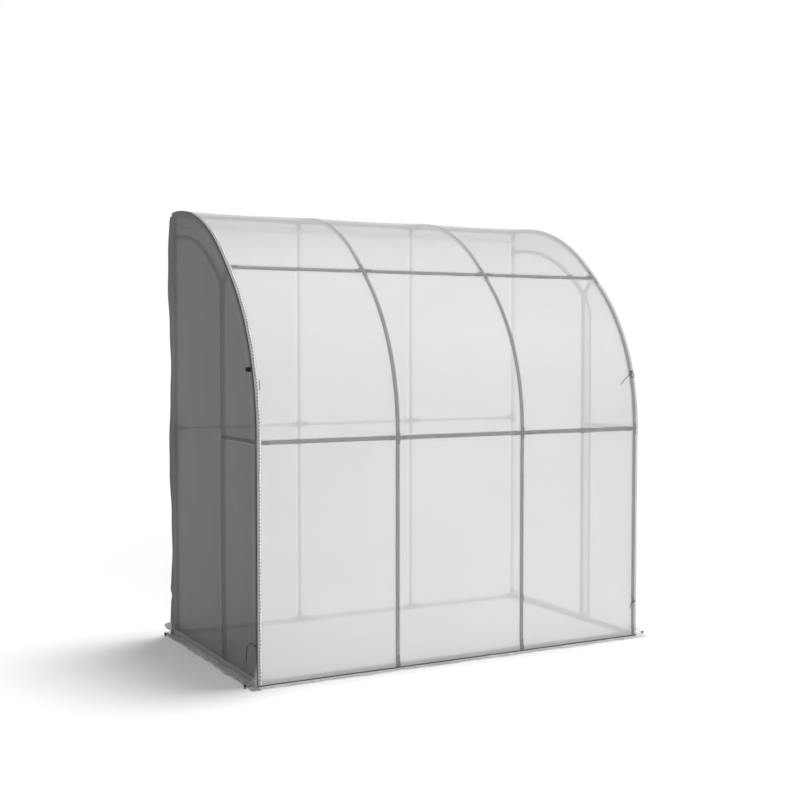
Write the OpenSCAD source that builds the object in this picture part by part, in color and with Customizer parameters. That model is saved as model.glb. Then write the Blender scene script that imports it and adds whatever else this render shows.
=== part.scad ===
// Lean-to film greenhouse. Four bent-tube arches stand against a rear wall of
// upright posts. Rails plug into moulded fittings, and a reinforced film closes
// the front, roof, back and ends, with a zipped door flap in the right end.
// X runs along the length, Y from the curved front to the upright back, Z is up.
// The origin lies on the ground, at the middle of the footprint.

/* [Frame] */
// Number of bays between the two end arches
bays = 3; // [3:1:5]
// Distance between neighbouring arches
bay_pitch = 656; // [500:1:900]
// Distance from the front legs to the rear posts, axis to axis
frame_depth = 1076; // [1000:1:1200]
// Drop of the mid rails' axis below the start of the arch's bend
mid_rail_drop = 26; // [26:1:300]
// Height of the base rails' axis
base_rail_z = 14; // [14:0.5:20]

/* [Arch] */
// Height at which the straight front leg starts to bend
leg_height = 1051; // [1000:1:1150]
// Bend radius of the lower arch tube, on its axis
front_bend_r = 925; // [850:1:980]
// Angle that the lower arch tube turns through
front_bend_angle = 47; // [43:0.5:50]
// Straight length on each side of the purlin joint, where the two tubes meet
joint_straight = 65; // [50:1:90]
// Bend radius of the roof tube, on its axis
roof_bend_r = 921; // [860:1:970]
// Straight end of the roof tube, up to the rear posts' axis
roof_end = 45; // [45:1:90]

/* [Tubes and fittings] */
// Outer diameter of every frame tube
tube_d = 19; // [16:0.5:25]
// Wall of a fitting's sleeves
sleeve_wall = 2.1; // [1.5:0.1:3]
// Reach of a plug-in sleeve, from the joint's centre
sleeve_reach = 42; // [35:1:45]
// Half length of a sleeve that a tube passes through
through_reach = 26; // [20:1:26]
// Distance from the joint's centre to the end of a plugged-in tube
seat = 14; // [13.5:0.5:18]
// Radial clearance between a tube and its sleeve
sleeve_gap = 0.2; // [0.1:0.05:0.3]
// How much a tube's straight spigot is drawn in beyond a bend, on its radius
spigot_draw = 0.15; // [0.05:0.05:0.3]

/* [Cover] */
// Thickness of the film
film_t = 2; // [1:0.5:4]
// Width of the skirt that lies on the ground round the cover
skirt_w = 45; // [20:1:120]
// Distance that the roof film laps down behind the rear top rail
back_lap = 60; // [30:1:200]
// Free edge of the curved film past the right end's film
free_edge = 4; // [2:1:25]
// Free edge of the left end's film at its rear corner
corner_edge = 18; // [4:1:40]

/* [Door] */
// Distance from the roof tube to the curved door head, axis to axis
head_drop = 110; // [105:1:160]
// Distance that the door flap reaches past the door post, towards the front
flap_lap = 55; // [20:1:80]
// Height of the sloping corner at the top of the flap's front edge
flap_corner_h = 90; // [40:1:160]
// Width of the zip
zip_w = 9; // [6:1:16]
// Thickness of the zip
zip_t = 2; // [1:0.5:3]

/* [Ties and pegs] */
// Diameter of the tie cords and the peg loops
cord_d = 3; // [2:0.5:4]
// Height of the upper tie on the right front leg
upper_tie_z = 1300; // [1100:1:1400]
// Height of the lower ties
lower_tie_z = 174; // [100:1:400]
// Height of the film clip on the left end
clip_z = 1330; // [1200:1:1400]
// Width and height of the film clip
clip_w = 26; // [15:1:40]
clip_h = 20; // [10:1:30]
// How far the film clip stands out from the film
clip_t = 16; // [6:1:20]
// Distance of the film clip's middle behind the arch's axis
clip_back = 15; // [0:1:25]
// Height of the ground pegs above the ground
peg_h = 15; // [13:1:40]
// Diameter of a ground peg's head
peg_head_d = 11; // [8:1:16]
// Height at which a peg loop leaves the film
loop_z = 44; // [40:1:90]

/* [Hidden] */

$fn = 64;
fit_gap = 0.3;      // clearance between neighbouring pieces
over = 1;           // how far a cutting shape runs past a face

tube_colour = "dimgray";
fitting_colour = "#55585a";
film_colour = "gainsboro";
end_film_colour = "gray";
trim_colour = "#2c2c2c";

// Sleeves: the tube passes or plugs in, and a ball blends the arms.
tube_r = tube_d / 2;
bore_r = tube_r + sleeve_gap;
branch_r = bore_r + sleeve_wall - 0.4;
main_r = bore_r + sleeve_wall;
ball_r = main_r + 0.8;
tube_end = seat + fit_gap;
spigot_r = tube_r - spigot_draw;
spigot_root = 3;    // how far a spigot runs back into its bend
sleeve_root = 4;    // where a sleeve starts inside its ball

// Places of the upright tubes.
half_l = bays * bay_pitch / 2;
mid_rail_z = leg_height - mid_rail_drop;
y_front = -frame_depth / 2;
y_back = frame_depth / 2;
arch_x = [for (i = [0:bays]) i * bay_pitch - half_l];
end_sides = [-1, 1];

// The arch, seen from the end: leg, front bend, link, roof bend, straight end.
link_dir = [0, sin(front_bend_angle), cos(front_bend_angle)];
link_out = [0, -cos(front_bend_angle), sin(front_bend_angle)];
front_centre = [0, y_front + front_bend_r, leg_height];
link_start = front_centre + front_bend_r * link_out;
link_length = 2 * joint_straight;
link_end = link_start + link_length * link_dir;
roof_centre = link_end - roof_bend_r * link_out;
roof_slope = asin((y_back - roof_centre.y) / norm([roof_bend_r, roof_end]))
    - atan(roof_end / roof_bend_r);
roof_turn = 90 - front_bend_angle + roof_slope;
roof_dir = [0, cos(roof_slope), -sin(roof_slope)];
roof_out = [0, sin(roof_slope), cos(roof_slope)];
roof_start = roof_centre + roof_bend_r * roof_out;
top_joint = roof_start + roof_end * roof_dir;

// Joints of the door frame.
purlin_joint = link_start + joint_straight * link_dir;
post_top = purlin_joint - head_drop * link_out;
door_y = post_top.y;
head_r = roof_bend_r - head_drop;
head_end = (y_back - roof_centre.y - head_r * sin(roof_slope)) / cos(roof_slope);
head_joint = roof_centre + head_r * roof_out + head_end * roof_dir;

// Film: its inner face clears the fittings' balls.
film_in = ball_r + fit_gap;
film_out = film_in + film_t;
cover_x = half_l + film_out;
cover_y = frame_depth / 2 + film_out;
lap_z = top_joint.z - back_lap;
flap_in = film_out + fit_gap;
flap_out = flap_in + film_t;
edge_foot_z = film_t + fit_gap;

function side_x(side, off) = side * (half_l + off);
function at_x(p, x) = [x, p.y, p.z];
function is_end(i) = i == 0 || i == bays;

// ---------------------------------------------------------------- tubes

// Turns +Z onto direction v.
module toward(v) {
    rotate([0, acos(v.z / norm(v)), atan2(v.y, v.x)]) children();
}

// A tube between two joints, ending on the seats in their fittings.
module tube_between(p, q) {
    run = q - p;
    translate(p) toward(run) translate([0, 0, tube_end])
        cylinder(r = tube_r, h = norm(run) - 2 * tube_end);
}

// One tube in each bay, along a line of joints at the given point.
module bay_tubes(p) {
    for (i = [0:bays - 1]) {
        tube_between(at_x(p, arch_x[i]), at_x(p, arch_x[i + 1]));
    }
}

// The stretches of the arch. Each carries a flat section along itself: the
// section's X points out of the greenhouse, and its Y runs along the length.
module along_leg(z0, z1) {
    translate([0, y_front, z0]) rotate([0, 0, -90])
        linear_extrude(z1 - z0) children();
}

module along_front_bend() {
    translate(front_centre) rotate([90, 0, -90])
        rotate_extrude(angle = front_bend_angle, $fn = 240)
            translate([front_bend_r, 0]) children();
}

module along_link(s0, s1) {
    translate(link_start + s0 * link_dir) rotate([-front_bend_angle, 0, 0])
        rotate([0, 0, -90]) linear_extrude(s1 - s0) children();
}

module along_roof_bend() {
    translate(roof_centre) rotate([90, 0, -90]) rotate([0, 0, front_bend_angle])
        rotate_extrude(angle = roof_turn, $fn = 240)
            translate([roof_bend_r, 0]) children();
}

module along_roof_end(s0, s1) {
    translate(roof_start + s0 * roof_dir) rotate([-90 - roof_slope, 0, 0])
        rotate([0, 0, -90]) linear_extrude(s1 - s0) children();
}

module tube_section(off = 0) {
    translate([off, 0]) circle(r = tube_r);
}

module spigot_section(off = 0) {
    translate([off, 0]) circle(r = spigot_r);
}

// An arch: the lower tube and the roof tube, which meet in the purlin fitting.
// Each bend ends in a straight spigot that plugs into a sleeve.
module arch(i) {
    color(tube_colour) translate([arch_x[i], 0, 0]) {
        union() {
            along_leg(base_rail_z + tube_end, leg_height) tube_section();
            along_front_bend() tube_section();
            along_link(-spigot_root, joint_straight - tube_end) spigot_section();
        }
        union() {
            along_link(joint_straight + tube_end, link_length + spigot_root)
                spigot_section();
            along_roof_bend() tube_section();
            along_roof_end(-spigot_root, roof_end - tube_end) spigot_section();
        }
    }
}

module rear_post(i) {
    x = arch_x[i];
    color(tube_colour)
        tube_between([x, y_back, base_rail_z], at_x(top_joint, x));
}

// The door head runs beside the roof tube, at a constant distance inside it.
module door_head(side) {
    color(tube_colour) translate([side_x(side, 0), 0, 0]) union() {
        along_link(joint_straight + tube_end, link_length + spigot_root)
            spigot_section(-head_drop);
        along_roof_bend() tube_section(-head_drop);
        along_roof_end(-spigot_root, head_end - tube_end) spigot_section(-head_drop);
    }
}

module door_post(side) {
    x = side_x(side, 0);
    color(tube_colour)
        tube_between([x, door_y, base_rail_z], at_x(post_top, x));
}

module head_brace(side) {
    x = side_x(side, 0);
    color(tube_colour)
        tube_between(at_x(post_top, x), at_x(purlin_joint, x));
}

// Rails along the length.
module base_rail_long(y) {
    color(tube_colour) bay_tubes([0, y, base_rail_z]);
}

module mid_rail_long(y) {
    color(tube_colour) bay_tubes([0, y, mid_rail_z]);
}

module roof_purlin() {
    color(tube_colour) bay_tubes(purlin_joint);
}

module top_rail() {
    color(tube_colour) bay_tubes(top_joint);
}

// Rails across the ends: both bays at the ground, only the front one at mid
// height, where the rear bay is the doorway.
module base_rail_end(side) {
    x = side_x(side, 0);
    color(tube_colour) {
        tube_between([x, y_front, base_rail_z], [x, door_y, base_rail_z]);
        tube_between([x, door_y, base_rail_z], [x, y_back, base_rail_z]);
    }
}

module mid_rail_end(side) {
    x = side_x(side, 0);
    color(tube_colour)
        tube_between([x, y_front, mid_rail_z], [x, door_y, mid_rail_z]);
}

// ---------------------------------------------------------------- fittings

UP = [0, 0, 1];
DOWN = [0, 0, -1];
FRONT = [0, -1, 0];
BACK = [0, 1, 0];

// Directions of the long rails that meet arch i.
function rail_arms(i) = concat(i > 0 ? [[-1, 0, 0]] : [], i < bays ? [[1, 0, 0]] : []);

// A fitting: one sleeve for each plugged-in tube, and where a tube passes
// through it, one sleeve round that tube.
module fitting(at, arms, through = false) {
    translate(at) difference() {
        union() {
            sphere(r = ball_r);
            for (v = arms) {
                toward(v) translate([0, 0, sleeve_root])
                    cylinder(r = branch_r, h = sleeve_reach - sleeve_root);
            }
            if (through) {
                translate([0, 0, -through_reach])
                    cylinder(r = main_r, h = 2 * through_reach);
            }
        }
        for (v = arms) {
            toward(v) translate([0, 0, seat])
                cylinder(r = bore_r, h = sleeve_reach - seat + over);
        }
        if (through) {
            translate([0, 0, -through_reach - over])
                cylinder(r = bore_r, h = 2 * (through_reach + over));
        }
    }
}

// A base fitting also has a round foot, flat on the ground.
module base_fitting(x, y, arms) {
    fitting([x, y, base_rail_z], arms);
    translate([x, y, 0]) cylinder(r = tube_r, h = base_rail_z);
}

module base_fittings() {
    color(fitting_colour) {
        for (i = [0:bays]) {
            front_arms = is_end(i) ? [UP, BACK] : [UP];
            back_arms = is_end(i) ? [UP, FRONT] : [UP];
            base_fitting(arch_x[i], y_front, concat(front_arms, rail_arms(i)));
            base_fitting(arch_x[i], y_back, concat(back_arms, rail_arms(i)));
        }
        for (side = end_sides) {
            base_fitting(side_x(side, 0), door_y, [UP, FRONT, BACK]);
        }
    }
}

module mid_fittings() {
    color(fitting_colour) {
        for (i = [0:bays]) {
            front_arms = concat(is_end(i) ? [BACK] : [], rail_arms(i));
            fitting([arch_x[i], y_front, mid_rail_z], front_arms, through = true);
            fitting([arch_x[i], y_back, mid_rail_z], rail_arms(i), through = true);
        }
        for (side = end_sides) {
            fitting([side_x(side, 0), door_y, mid_rail_z], [FRONT], through = true);
        }
    }
}

module purlin_fittings() {
    color(fitting_colour) for (i = [0:bays]) {
        brace_arm = is_end(i) ? [-link_out] : [];
        arms = concat([link_dir, -link_dir], brace_arm, rail_arms(i));
        fitting(at_x(purlin_joint, arch_x[i]), arms);
    }
}

module top_fittings() {
    color(fitting_colour) for (i = [0:bays]) {
        fitting(at_x(top_joint, arch_x[i]), concat([DOWN, -roof_dir], rail_arms(i)));
    }
}

module door_frame_fittings() {
    color(fitting_colour) for (side = end_sides) {
        x = side_x(side, 0);
        fitting(at_x(post_top, x), [DOWN, link_out, link_dir]);
        fitting(at_x(head_joint, x), [-roof_dir], through = true);
    }
}

// ---------------------------------------------------------------- film

// Flat outlines of the film, seen from the right end: X is towards the back, Y is
// up. path_dir is the outward direction once the arch has turned by an angle.
bend_steps = 24;    // straight steps in an outline's bend
corner_steps = 8;   // and in its small rear corner
function flat(p) = [p.y, p.z];
function path_dir(angle) = [-cos(angle), sin(angle)];
function arc_points(centre, r, from, to, steps = bend_steps) =
    [for (i = [0:steps]) flat(centre) + r * path_dir(from + (to - from) * i / steps)];
function reversed(list) = [for (i = [len(list) - 1:-1:0]) list[i]];

// The line at the distance off outside the arch's axis: up the front, over the
// roof and down behind the rear posts.
function arch_line(off, start_z, end_z) = concat(
    [[y_front - off, start_z]],
    arc_points(front_centre, front_bend_r + off, 0, front_bend_angle),
    arc_points(roof_centre, roof_bend_r + off, front_bend_angle, 90 + roof_slope),
    arc_points(top_joint, off, 90 + roof_slope, 180, corner_steps),
    [[y_back + off, end_z]]
);

// A film that runs the whole length, from its flat cross-section. With extra it
// also runs on past the right end.
module along_length(extra = 0) {
    color(film_colour) translate([-cover_x, 0, 0]) rotate([90, 0, 90])
        linear_extrude(2 * cover_x + extra) children();
}

// The curved cover: a skirt on the ground, the front, the roof, and a lap down
// the back. Its free edge at the right end clears the end's skirt.
module cover_front() {
    outer = arch_line(film_out, edge_foot_z, lap_z);
    inner = arch_line(film_in, edge_foot_z, lap_z);
    along_length(free_edge) polygon(concat(outer, reversed(inner)));
    along_length() translate([-cover_y - skirt_w, 0]) square([skirt_w, film_t]);
    along_length() translate([-cover_y, 0]) square([film_t, edge_foot_z]);
}

module cover_back() {
    along_length(free_edge) translate([cover_y - film_t, edge_foot_z])
        square([film_t, lap_z - fit_gap - edge_foot_z]);
    along_length() translate([cover_y - film_t, 0]) {
        square([film_t, edge_foot_z]);
        square([film_t + skirt_w, film_t]);
    }
}

// Everything under the door head, raised by lap and cut off in front of front_y.
module door_outline(front_y, lap, foot_z, rear_y) {
    polygon(concat(
        [[front_y, foot_z], [front_y, post_top.z - flap_corner_h]],
        [flat(post_top + lap * link_out)],
        arc_points(roof_centre, head_r + lap, front_bend_angle, 90 + roof_slope),
        [flat(head_joint + lap * roof_out), [rear_y, head_joint.z + lap]],
        [[rear_y, foot_z]]
    ));
}

// Stands a flat end outline up at the given distance outside the end arch.
module stand_end(side, off, thickness) {
    inner = side_x(side, off);
    outer = side_x(side, off + thickness);
    translate([min(inner, outer), 0, 0]) rotate([90, 0, 90])
        linear_extrude(thickness) children();
}

// An end's film stops inside the curved cover. Its skirt is rooted in it, and
// spreads past the cover's edge to fill the corners.
panel_off = film_in - fit_gap;

module end_skirt(side) {
    root_half = frame_depth / 2 + panel_off;
    edge_half = cover_y + skirt_w;
    root_x = cover_x - film_t / 2;
    mirror([side < 0 ? 1 : 0, 0, 0]) linear_extrude(film_t) {
        translate([root_x, -root_half])
            square([film_t, 2 * root_half]);
        translate([cover_x + fit_gap, -edge_half])
            square([skirt_w - fit_gap, 2 * edge_half]);
    }
}

// The left end's film has a free edge that stands out from its rear corner.
module end_panel_left() {
    root_x = cover_x - film_t / 2;
    color(end_film_colour) union() {
        stand_end(-1, film_in, film_t) polygon(arch_line(panel_off, 0, 0));
        end_skirt(-1);
        translate([-root_x - corner_edge, y_back + panel_off - film_t, 0])
            cube([corner_edge, film_t, top_joint.z]);
    }
}

// The right end film is open at the doorway, which the flap closes.
module end_panel_right() {
    color(film_colour) union() {
        stand_end(1, film_in, film_t) difference() {
            polygon(arch_line(panel_off, 0, 0));
            door_outline(door_y, 0, -over, y_back + film_out);
        }
        end_skirt(1);
    }
}

// The flap hangs outside the end film and stops above the skirt.
module door_flap_right() {
    color(film_colour) stand_end(1, flap_in, film_t)
        door_outline(door_y - flap_lap, tube_r, edge_foot_z, y_back + panel_off);
}

// A straight band of the zip between two points of the flap.
module band(p, q) {
    run = q - p;
    translate(p) rotate([0, 0, atan2(run.y, run.x)])
        translate([0, -zip_w / 2]) square([norm(run), zip_w]);
}

module door_zip_right() {
    edge_y = door_y - flap_lap + zip_w;
    low = [edge_y, edge_foot_z + zip_w];
    turn = [edge_y, post_top.z - flap_corner_h];
    top = flat(post_top);
    color(trim_colour) stand_end(1, flap_out + fit_gap, zip_t) {
        band(low, turn);
        band(turn, top);
    }
}

// ---------------------------------------------------------------- ties and pegs

// Clip that holds the end film to the arch.
module film_clip_left() {
    bend_rise = (clip_z - leg_height) / front_bend_r;
    arch_y = front_centre.y - front_bend_r * sqrt(1 - bend_rise * bend_rise);
    low_corner = [
        -cover_x - fit_gap - clip_t,
        arch_y + clip_back - clip_w / 2,
        clip_z - clip_h / 2
    ];
    color(trim_colour) translate(low_corner) cube([clip_t, clip_w, clip_h]);
}

// Knots of the ties. Each lies on the film, and its cord ends hang from it.
knot_r = 1.5 * cord_d;
right_knot_x = half_l;
upper_rise = (upper_tie_z - leg_height) / front_bend_r;
upper_turn = asin(upper_rise);
front_face_y = -cover_y - knot_r - fit_gap;
upper_knot = front_centre
    + (front_bend_r + film_out + knot_r + fit_gap) * [0, -cos(upper_turn), upper_rise]
    + [right_knot_x, 0, 0];
lower_right_knot = [right_knot_x, front_face_y, lower_tie_z];
lower_left_knot = [-cover_x - knot_r - fit_gap, y_front, lower_tie_z];

module tie_knots() {
    color(trim_colour) for (p = [upper_knot, lower_right_knot, lower_left_knot]) {
        translate(p) sphere(r = knot_r);
    }
}

// Steps of each cord end from its knot, as the control points of one curve. The
// first step ends just clear of the knot.
lower_left_steps = [[0, 5.2, 1], [-8, 60, 18], [-6, 88, -20], [-2, 92, -84]];
upper_right_steps = [[-5, -2, 0], [-28, -8, 4], [-44, -12, -24], [-68, -18, -58]];
lower_right_long_steps = [[-5, -1.5, -1], [-20, -6, 0], [-26, -6, -12], [-31, -4, -30]];
lower_right_short_steps = [[-3.1, -1.8, 3.8], [-8, -4, 10], [-13, -5, 15], [-18, -5, 20]];

function curve_at(p, t) = pow(1 - t, 3) * p[0] + 3 * t * pow(1 - t, 2) * p[1]
    + 3 * t * t * (1 - t) * p[2] + t * t * t * p[3];
function curve(p, n) = [for (i = [0:n]) curve_at(p, i / n)];
function unit(v) = v / norm(v);

// A round cord along points, with its rings square to the route.
module cord(points, across) {
    sides = 8;
    last = len(points) - 1;
    rings = [
        for (i = [0:last])
            let (
                run = unit(points[min(i + 1, last)] - points[max(i - 1, 0)]),
                u = unit(cross(run, across)),
                w = cross(run, u)
            )
            for (k = [0:sides - 1])
                points[i] + cord_d / 2 * (cos(360 * k / sides) * u + sin(360 * k / sides) * w)
    ];
    walls = [
        for (i = [0:last - 1], k = [0:sides - 1])
            let (k2 = (k + 1) % sides)
            [i * sides + k, i * sides + k2, (i + 1) * sides + k2, (i + 1) * sides + k]
    ];
    start = [for (k = [sides - 1:-1:0]) k];
    end = [for (k = [0:sides - 1]) last * sides + k];
    polyhedron(points = rings, faces = concat(walls, [start, end]));
}

module tie_cord(knot, steps, across) {
    color(trim_colour) cord(curve([for (s = steps) knot + s], 14), across);
}

// Corner pegs stand just outside the skirt, one beside each corner.
peg_x = cover_x + skirt_w + peg_head_d / 2 + fit_gap;
peg_y = y_back;
peg_head_h = 5;

module at_corners() {
    for (side = end_sides, face = end_sides) {
        translate([side * peg_x, face * peg_y, 0]) children();
    }
}

module ground_pegs() {
    color(trim_colour) at_corners() {
        cylinder(d = peg_head_d / 2, h = peg_h);
        translate([0, 0, peg_h - peg_head_h]) cylinder(d = peg_head_d, h = peg_head_h);
    }
}

// A taut loop from the end film down to each peg's neck.
module peg_loops() {
    neck_z = peg_h - peg_head_h - 1.5 * cord_d;
    inner_x = cover_x + cord_d / 3 + fit_gap;
    outer_x = peg_x - peg_head_d / 4 - cord_d / 3 - fit_gap;
    color(trim_colour) for (side = end_sides, face = end_sides) {
        p = [side * inner_x, face * peg_y, loop_z];
        q = [side * outer_x, face * peg_y, neck_z];
        translate(p) toward(q - p) cylinder(d = cord_d, h = norm(q - p));
    }
}

arch(0);  // arch_left_end
arch(1);  // arch_left_middle
for (i = [2:bays - 1]) arch(i);  // arch_right_middle
arch(bays);  // arch_right_end
rear_post(0);  // rear_post_left_end
rear_post(1);  // rear_post_left_middle
for (i = [2:bays - 1]) rear_post(i);  // rear_post_right_middle
rear_post(bays);  // rear_post_right_end
base_rail_long(y_front);  // base_rail_front
base_rail_long(y_back);  // base_rail_back
base_rail_end(-1);  // base_rail_left
base_rail_end(1);  // base_rail_right
mid_rail_long(y_front);  // mid_rail_front
mid_rail_long(y_back);  // mid_rail_back
mid_rail_end(-1);  // mid_rail_left
mid_rail_end(1);  // mid_rail_right
roof_purlin();
top_rail();
door_post(-1);  // door_post_left
door_post(1);  // door_post_right
door_head(-1);  // door_head_left
door_head(1);  // door_head_right
head_brace(-1);  // head_brace_left
head_brace(1);  // head_brace_right
base_fittings();
mid_fittings();
purlin_fittings();
top_fittings();
door_frame_fittings();
cover_front();
cover_back();
end_panel_left();
end_panel_right();
door_flap_right();
door_zip_right();
film_clip_left();
tie_knots();
tie_cord(lower_left_knot, lower_left_steps, [1, 0, 0]);  // tie_cord_lower_left
tie_cord(upper_knot, upper_right_steps, [0, 1, 0]);  // tie_cord_upper_right
tie_cord(lower_right_knot, lower_right_long_steps, [0, 1, 0]);  // tie_cord_lower_right_long
tie_cord(lower_right_knot, lower_right_short_steps, [0, 1, 0]);  // tie_cord_lower_right_short
ground_pegs();
peg_loops();
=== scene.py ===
"""Looks of a lean-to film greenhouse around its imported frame.

The frame's tubes, fittings and pegs keep their own shapes and get their finishes
here. The film, its hems, the zip, the clip, the knots and the tie cords are made
here as surfaces that stand for their plain solids.
X runs along the length, Y from the curved front to the upright back, Z is up.
"""

import math

import bpy
import numpy as np
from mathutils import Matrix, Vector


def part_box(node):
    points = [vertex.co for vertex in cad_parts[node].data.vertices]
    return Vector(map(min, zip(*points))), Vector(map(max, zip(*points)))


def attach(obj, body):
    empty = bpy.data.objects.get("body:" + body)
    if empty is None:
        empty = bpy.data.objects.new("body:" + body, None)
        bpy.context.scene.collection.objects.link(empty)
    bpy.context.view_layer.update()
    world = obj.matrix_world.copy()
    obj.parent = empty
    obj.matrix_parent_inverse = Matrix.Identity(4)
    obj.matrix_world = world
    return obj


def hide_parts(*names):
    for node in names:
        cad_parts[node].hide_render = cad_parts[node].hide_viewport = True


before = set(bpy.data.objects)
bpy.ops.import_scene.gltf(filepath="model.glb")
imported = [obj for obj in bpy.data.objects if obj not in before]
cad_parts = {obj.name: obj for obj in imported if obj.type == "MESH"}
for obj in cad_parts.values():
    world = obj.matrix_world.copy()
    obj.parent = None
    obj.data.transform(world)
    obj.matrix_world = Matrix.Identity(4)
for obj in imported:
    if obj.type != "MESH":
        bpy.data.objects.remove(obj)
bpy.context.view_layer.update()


def add(name, data):
    """Adds an object with this data to the scene."""
    made = bpy.data.objects.new(name, data)
    bpy.context.scene.collection.objects.link(made)
    return made


# ------------------------------------------------------------------ sizes, in metres

TUBE_R = 0.0095
LEG_H = 1.051               # where the straight front leg starts to bend
FRONT_R = 0.925             # bend radii, on the tube's axis
ROOF_R = 0.921
FRONT_TURN = math.radians(47)
LINK = 0.130                # straight stretch at the purlin joint
ROOF_END = 0.045            # the roof tube's straight end
HEAD_DROP = 0.110           # from the roof tube to the curved door head
BACK_LAP = 0.060            # the roof film's lap behind the top rail
FILM_OFF = 0.0139           # the film's distance outside a tube's axis, over a fitting
TOUCH_OFF = 0.0108          # and where it lies on a tube
HEM_LIFT = 0.0044           # the left end film's rise over the cover's hem
FLAP_OFF = 0.0165           # the door flap's distance outside the end arch's axis
RIM_R = 0.008               # rounding where the cover turns round the left end arch
RIM_HEM = 0.012             # the cover's width turned in on the left end
FLANGE = 0.002              # reach of the seam's free edge at the right end
SKIRT_W = 0.045             # the skirt's width on the ground
HEM_TOP = 0.008             # top of the crease of painted shade round the foot
FLAP_LAP = 0.055            # the flap's reach past the door post
FLAP_CORNER = 0.090         # height of its sloping top corner
FOOT_Z = 0.0015             # height of the film's lowest points
CORD_D = 0.003
EAR_Z = 0.042               # height of the ear's middle, at the left rear corner


def middle_of(node):
    """The middle of a node's box."""
    low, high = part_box(node)
    return np.array((low + high) / 2)


ARCHES = ("left_end", "left_middle", "right_middle", "right_end")
ARCH_X = [middle_of(f"arch_{place}")[0] for place in ARCHES]
HALF_L = ARCH_X[-1]
BAY = ARCH_X[1] - ARCH_X[0]
Y_FRONT = middle_of("base_rail_front")[1]
Y_BACK = middle_of("rear_post_left_end")[1]
BASE_Z = middle_of("base_rail_front")[2]
MID_Z = middle_of("mid_rail_front")[2]
POST_Y = middle_of("door_post_left")[1]
PURLIN = middle_of("roof_purlin")[1:]
TOP = middle_of("top_rail")[1:]


def outward(turn):
    """Outward direction in the (Y, Z) plane once the arch has turned by an angle."""
    return np.stack([-np.cos(turn), np.sin(turn)], -1)


FRONT_C = np.array([Y_FRONT + FRONT_R, LEG_H])
LINK_OUT = outward(FRONT_TURN)
LINK_DIR = np.array([math.sin(FRONT_TURN), math.cos(FRONT_TURN)])
ROOF_C = FRONT_C + (FRONT_R - ROOF_R) * LINK_OUT + LINK * LINK_DIR
ROOF_REACH = (Y_BACK - ROOF_C[0]) / math.hypot(ROOF_R, ROOF_END)
ROOF_SLOPE = math.asin(ROOF_REACH) - math.atan(ROOF_END / ROOF_R)
ROOF_TURN = math.pi / 2 - FRONT_TURN + ROOF_SLOPE
REAR_TURN = math.pi / 2 - ROOF_SLOPE
POST_TOP = PURLIN - HEAD_DROP * LINK_OUT
HEAD_R = ROOF_R - HEAD_DROP
ROOF_OUT = outward(FRONT_TURN + ROOF_TURN)
ROOF_DIR = np.array([math.cos(ROOF_SLOPE), -math.sin(ROOF_SLOPE)])
HEAD_END = (Y_BACK - ROOF_C[0] - HEAD_R * math.sin(ROOF_SLOPE)) / math.cos(ROOF_SLOPE)
HEAD_JOINT = ROOF_C + HEAD_R * ROOF_OUT + HEAD_END * ROOF_DIR

END_EDGE = 0.0112           # how far outside the arch's axis an end film stops
FRONT_EDGE = Y_FRONT - END_EDGE
REAR_EDGE = Y_BACK + END_EDGE
FIN_X = HALF_L + TOUCH_OFF + HEM_LIFT

# Lengths along the arch's axis at which one stretch gives way to the next.
S_LEG = LEG_H
S_FRONT = S_LEG + FRONT_R * FRONT_TURN
S_PURLIN = S_FRONT + LINK / 2
S_LINK = S_FRONT + LINK
S_ROOF = S_LINK + ROOF_R * ROOF_TURN
S_TOP = S_ROOF + ROOF_END
S_CORNER = S_TOP + FILM_OFF * REAR_TURN
S_LAP = S_CORNER + BACK_LAP
RAILS_S = [BASE_Z, MID_Z, S_PURLIN, S_TOP]


# ------------------------------------------------------------------ camera

camera = add("camera", bpy.data.cameras.new("camera"))
camera.data.lens = 56.555
camera.location = (-2.9332, -5.4131, 1.428)
camera.rotation_euler = (math.radians(90 - 2.459), 0, math.radians(-28.235))
bpy.context.scene.camera = camera


# ------------------------------------------------------------------ finishes

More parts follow.
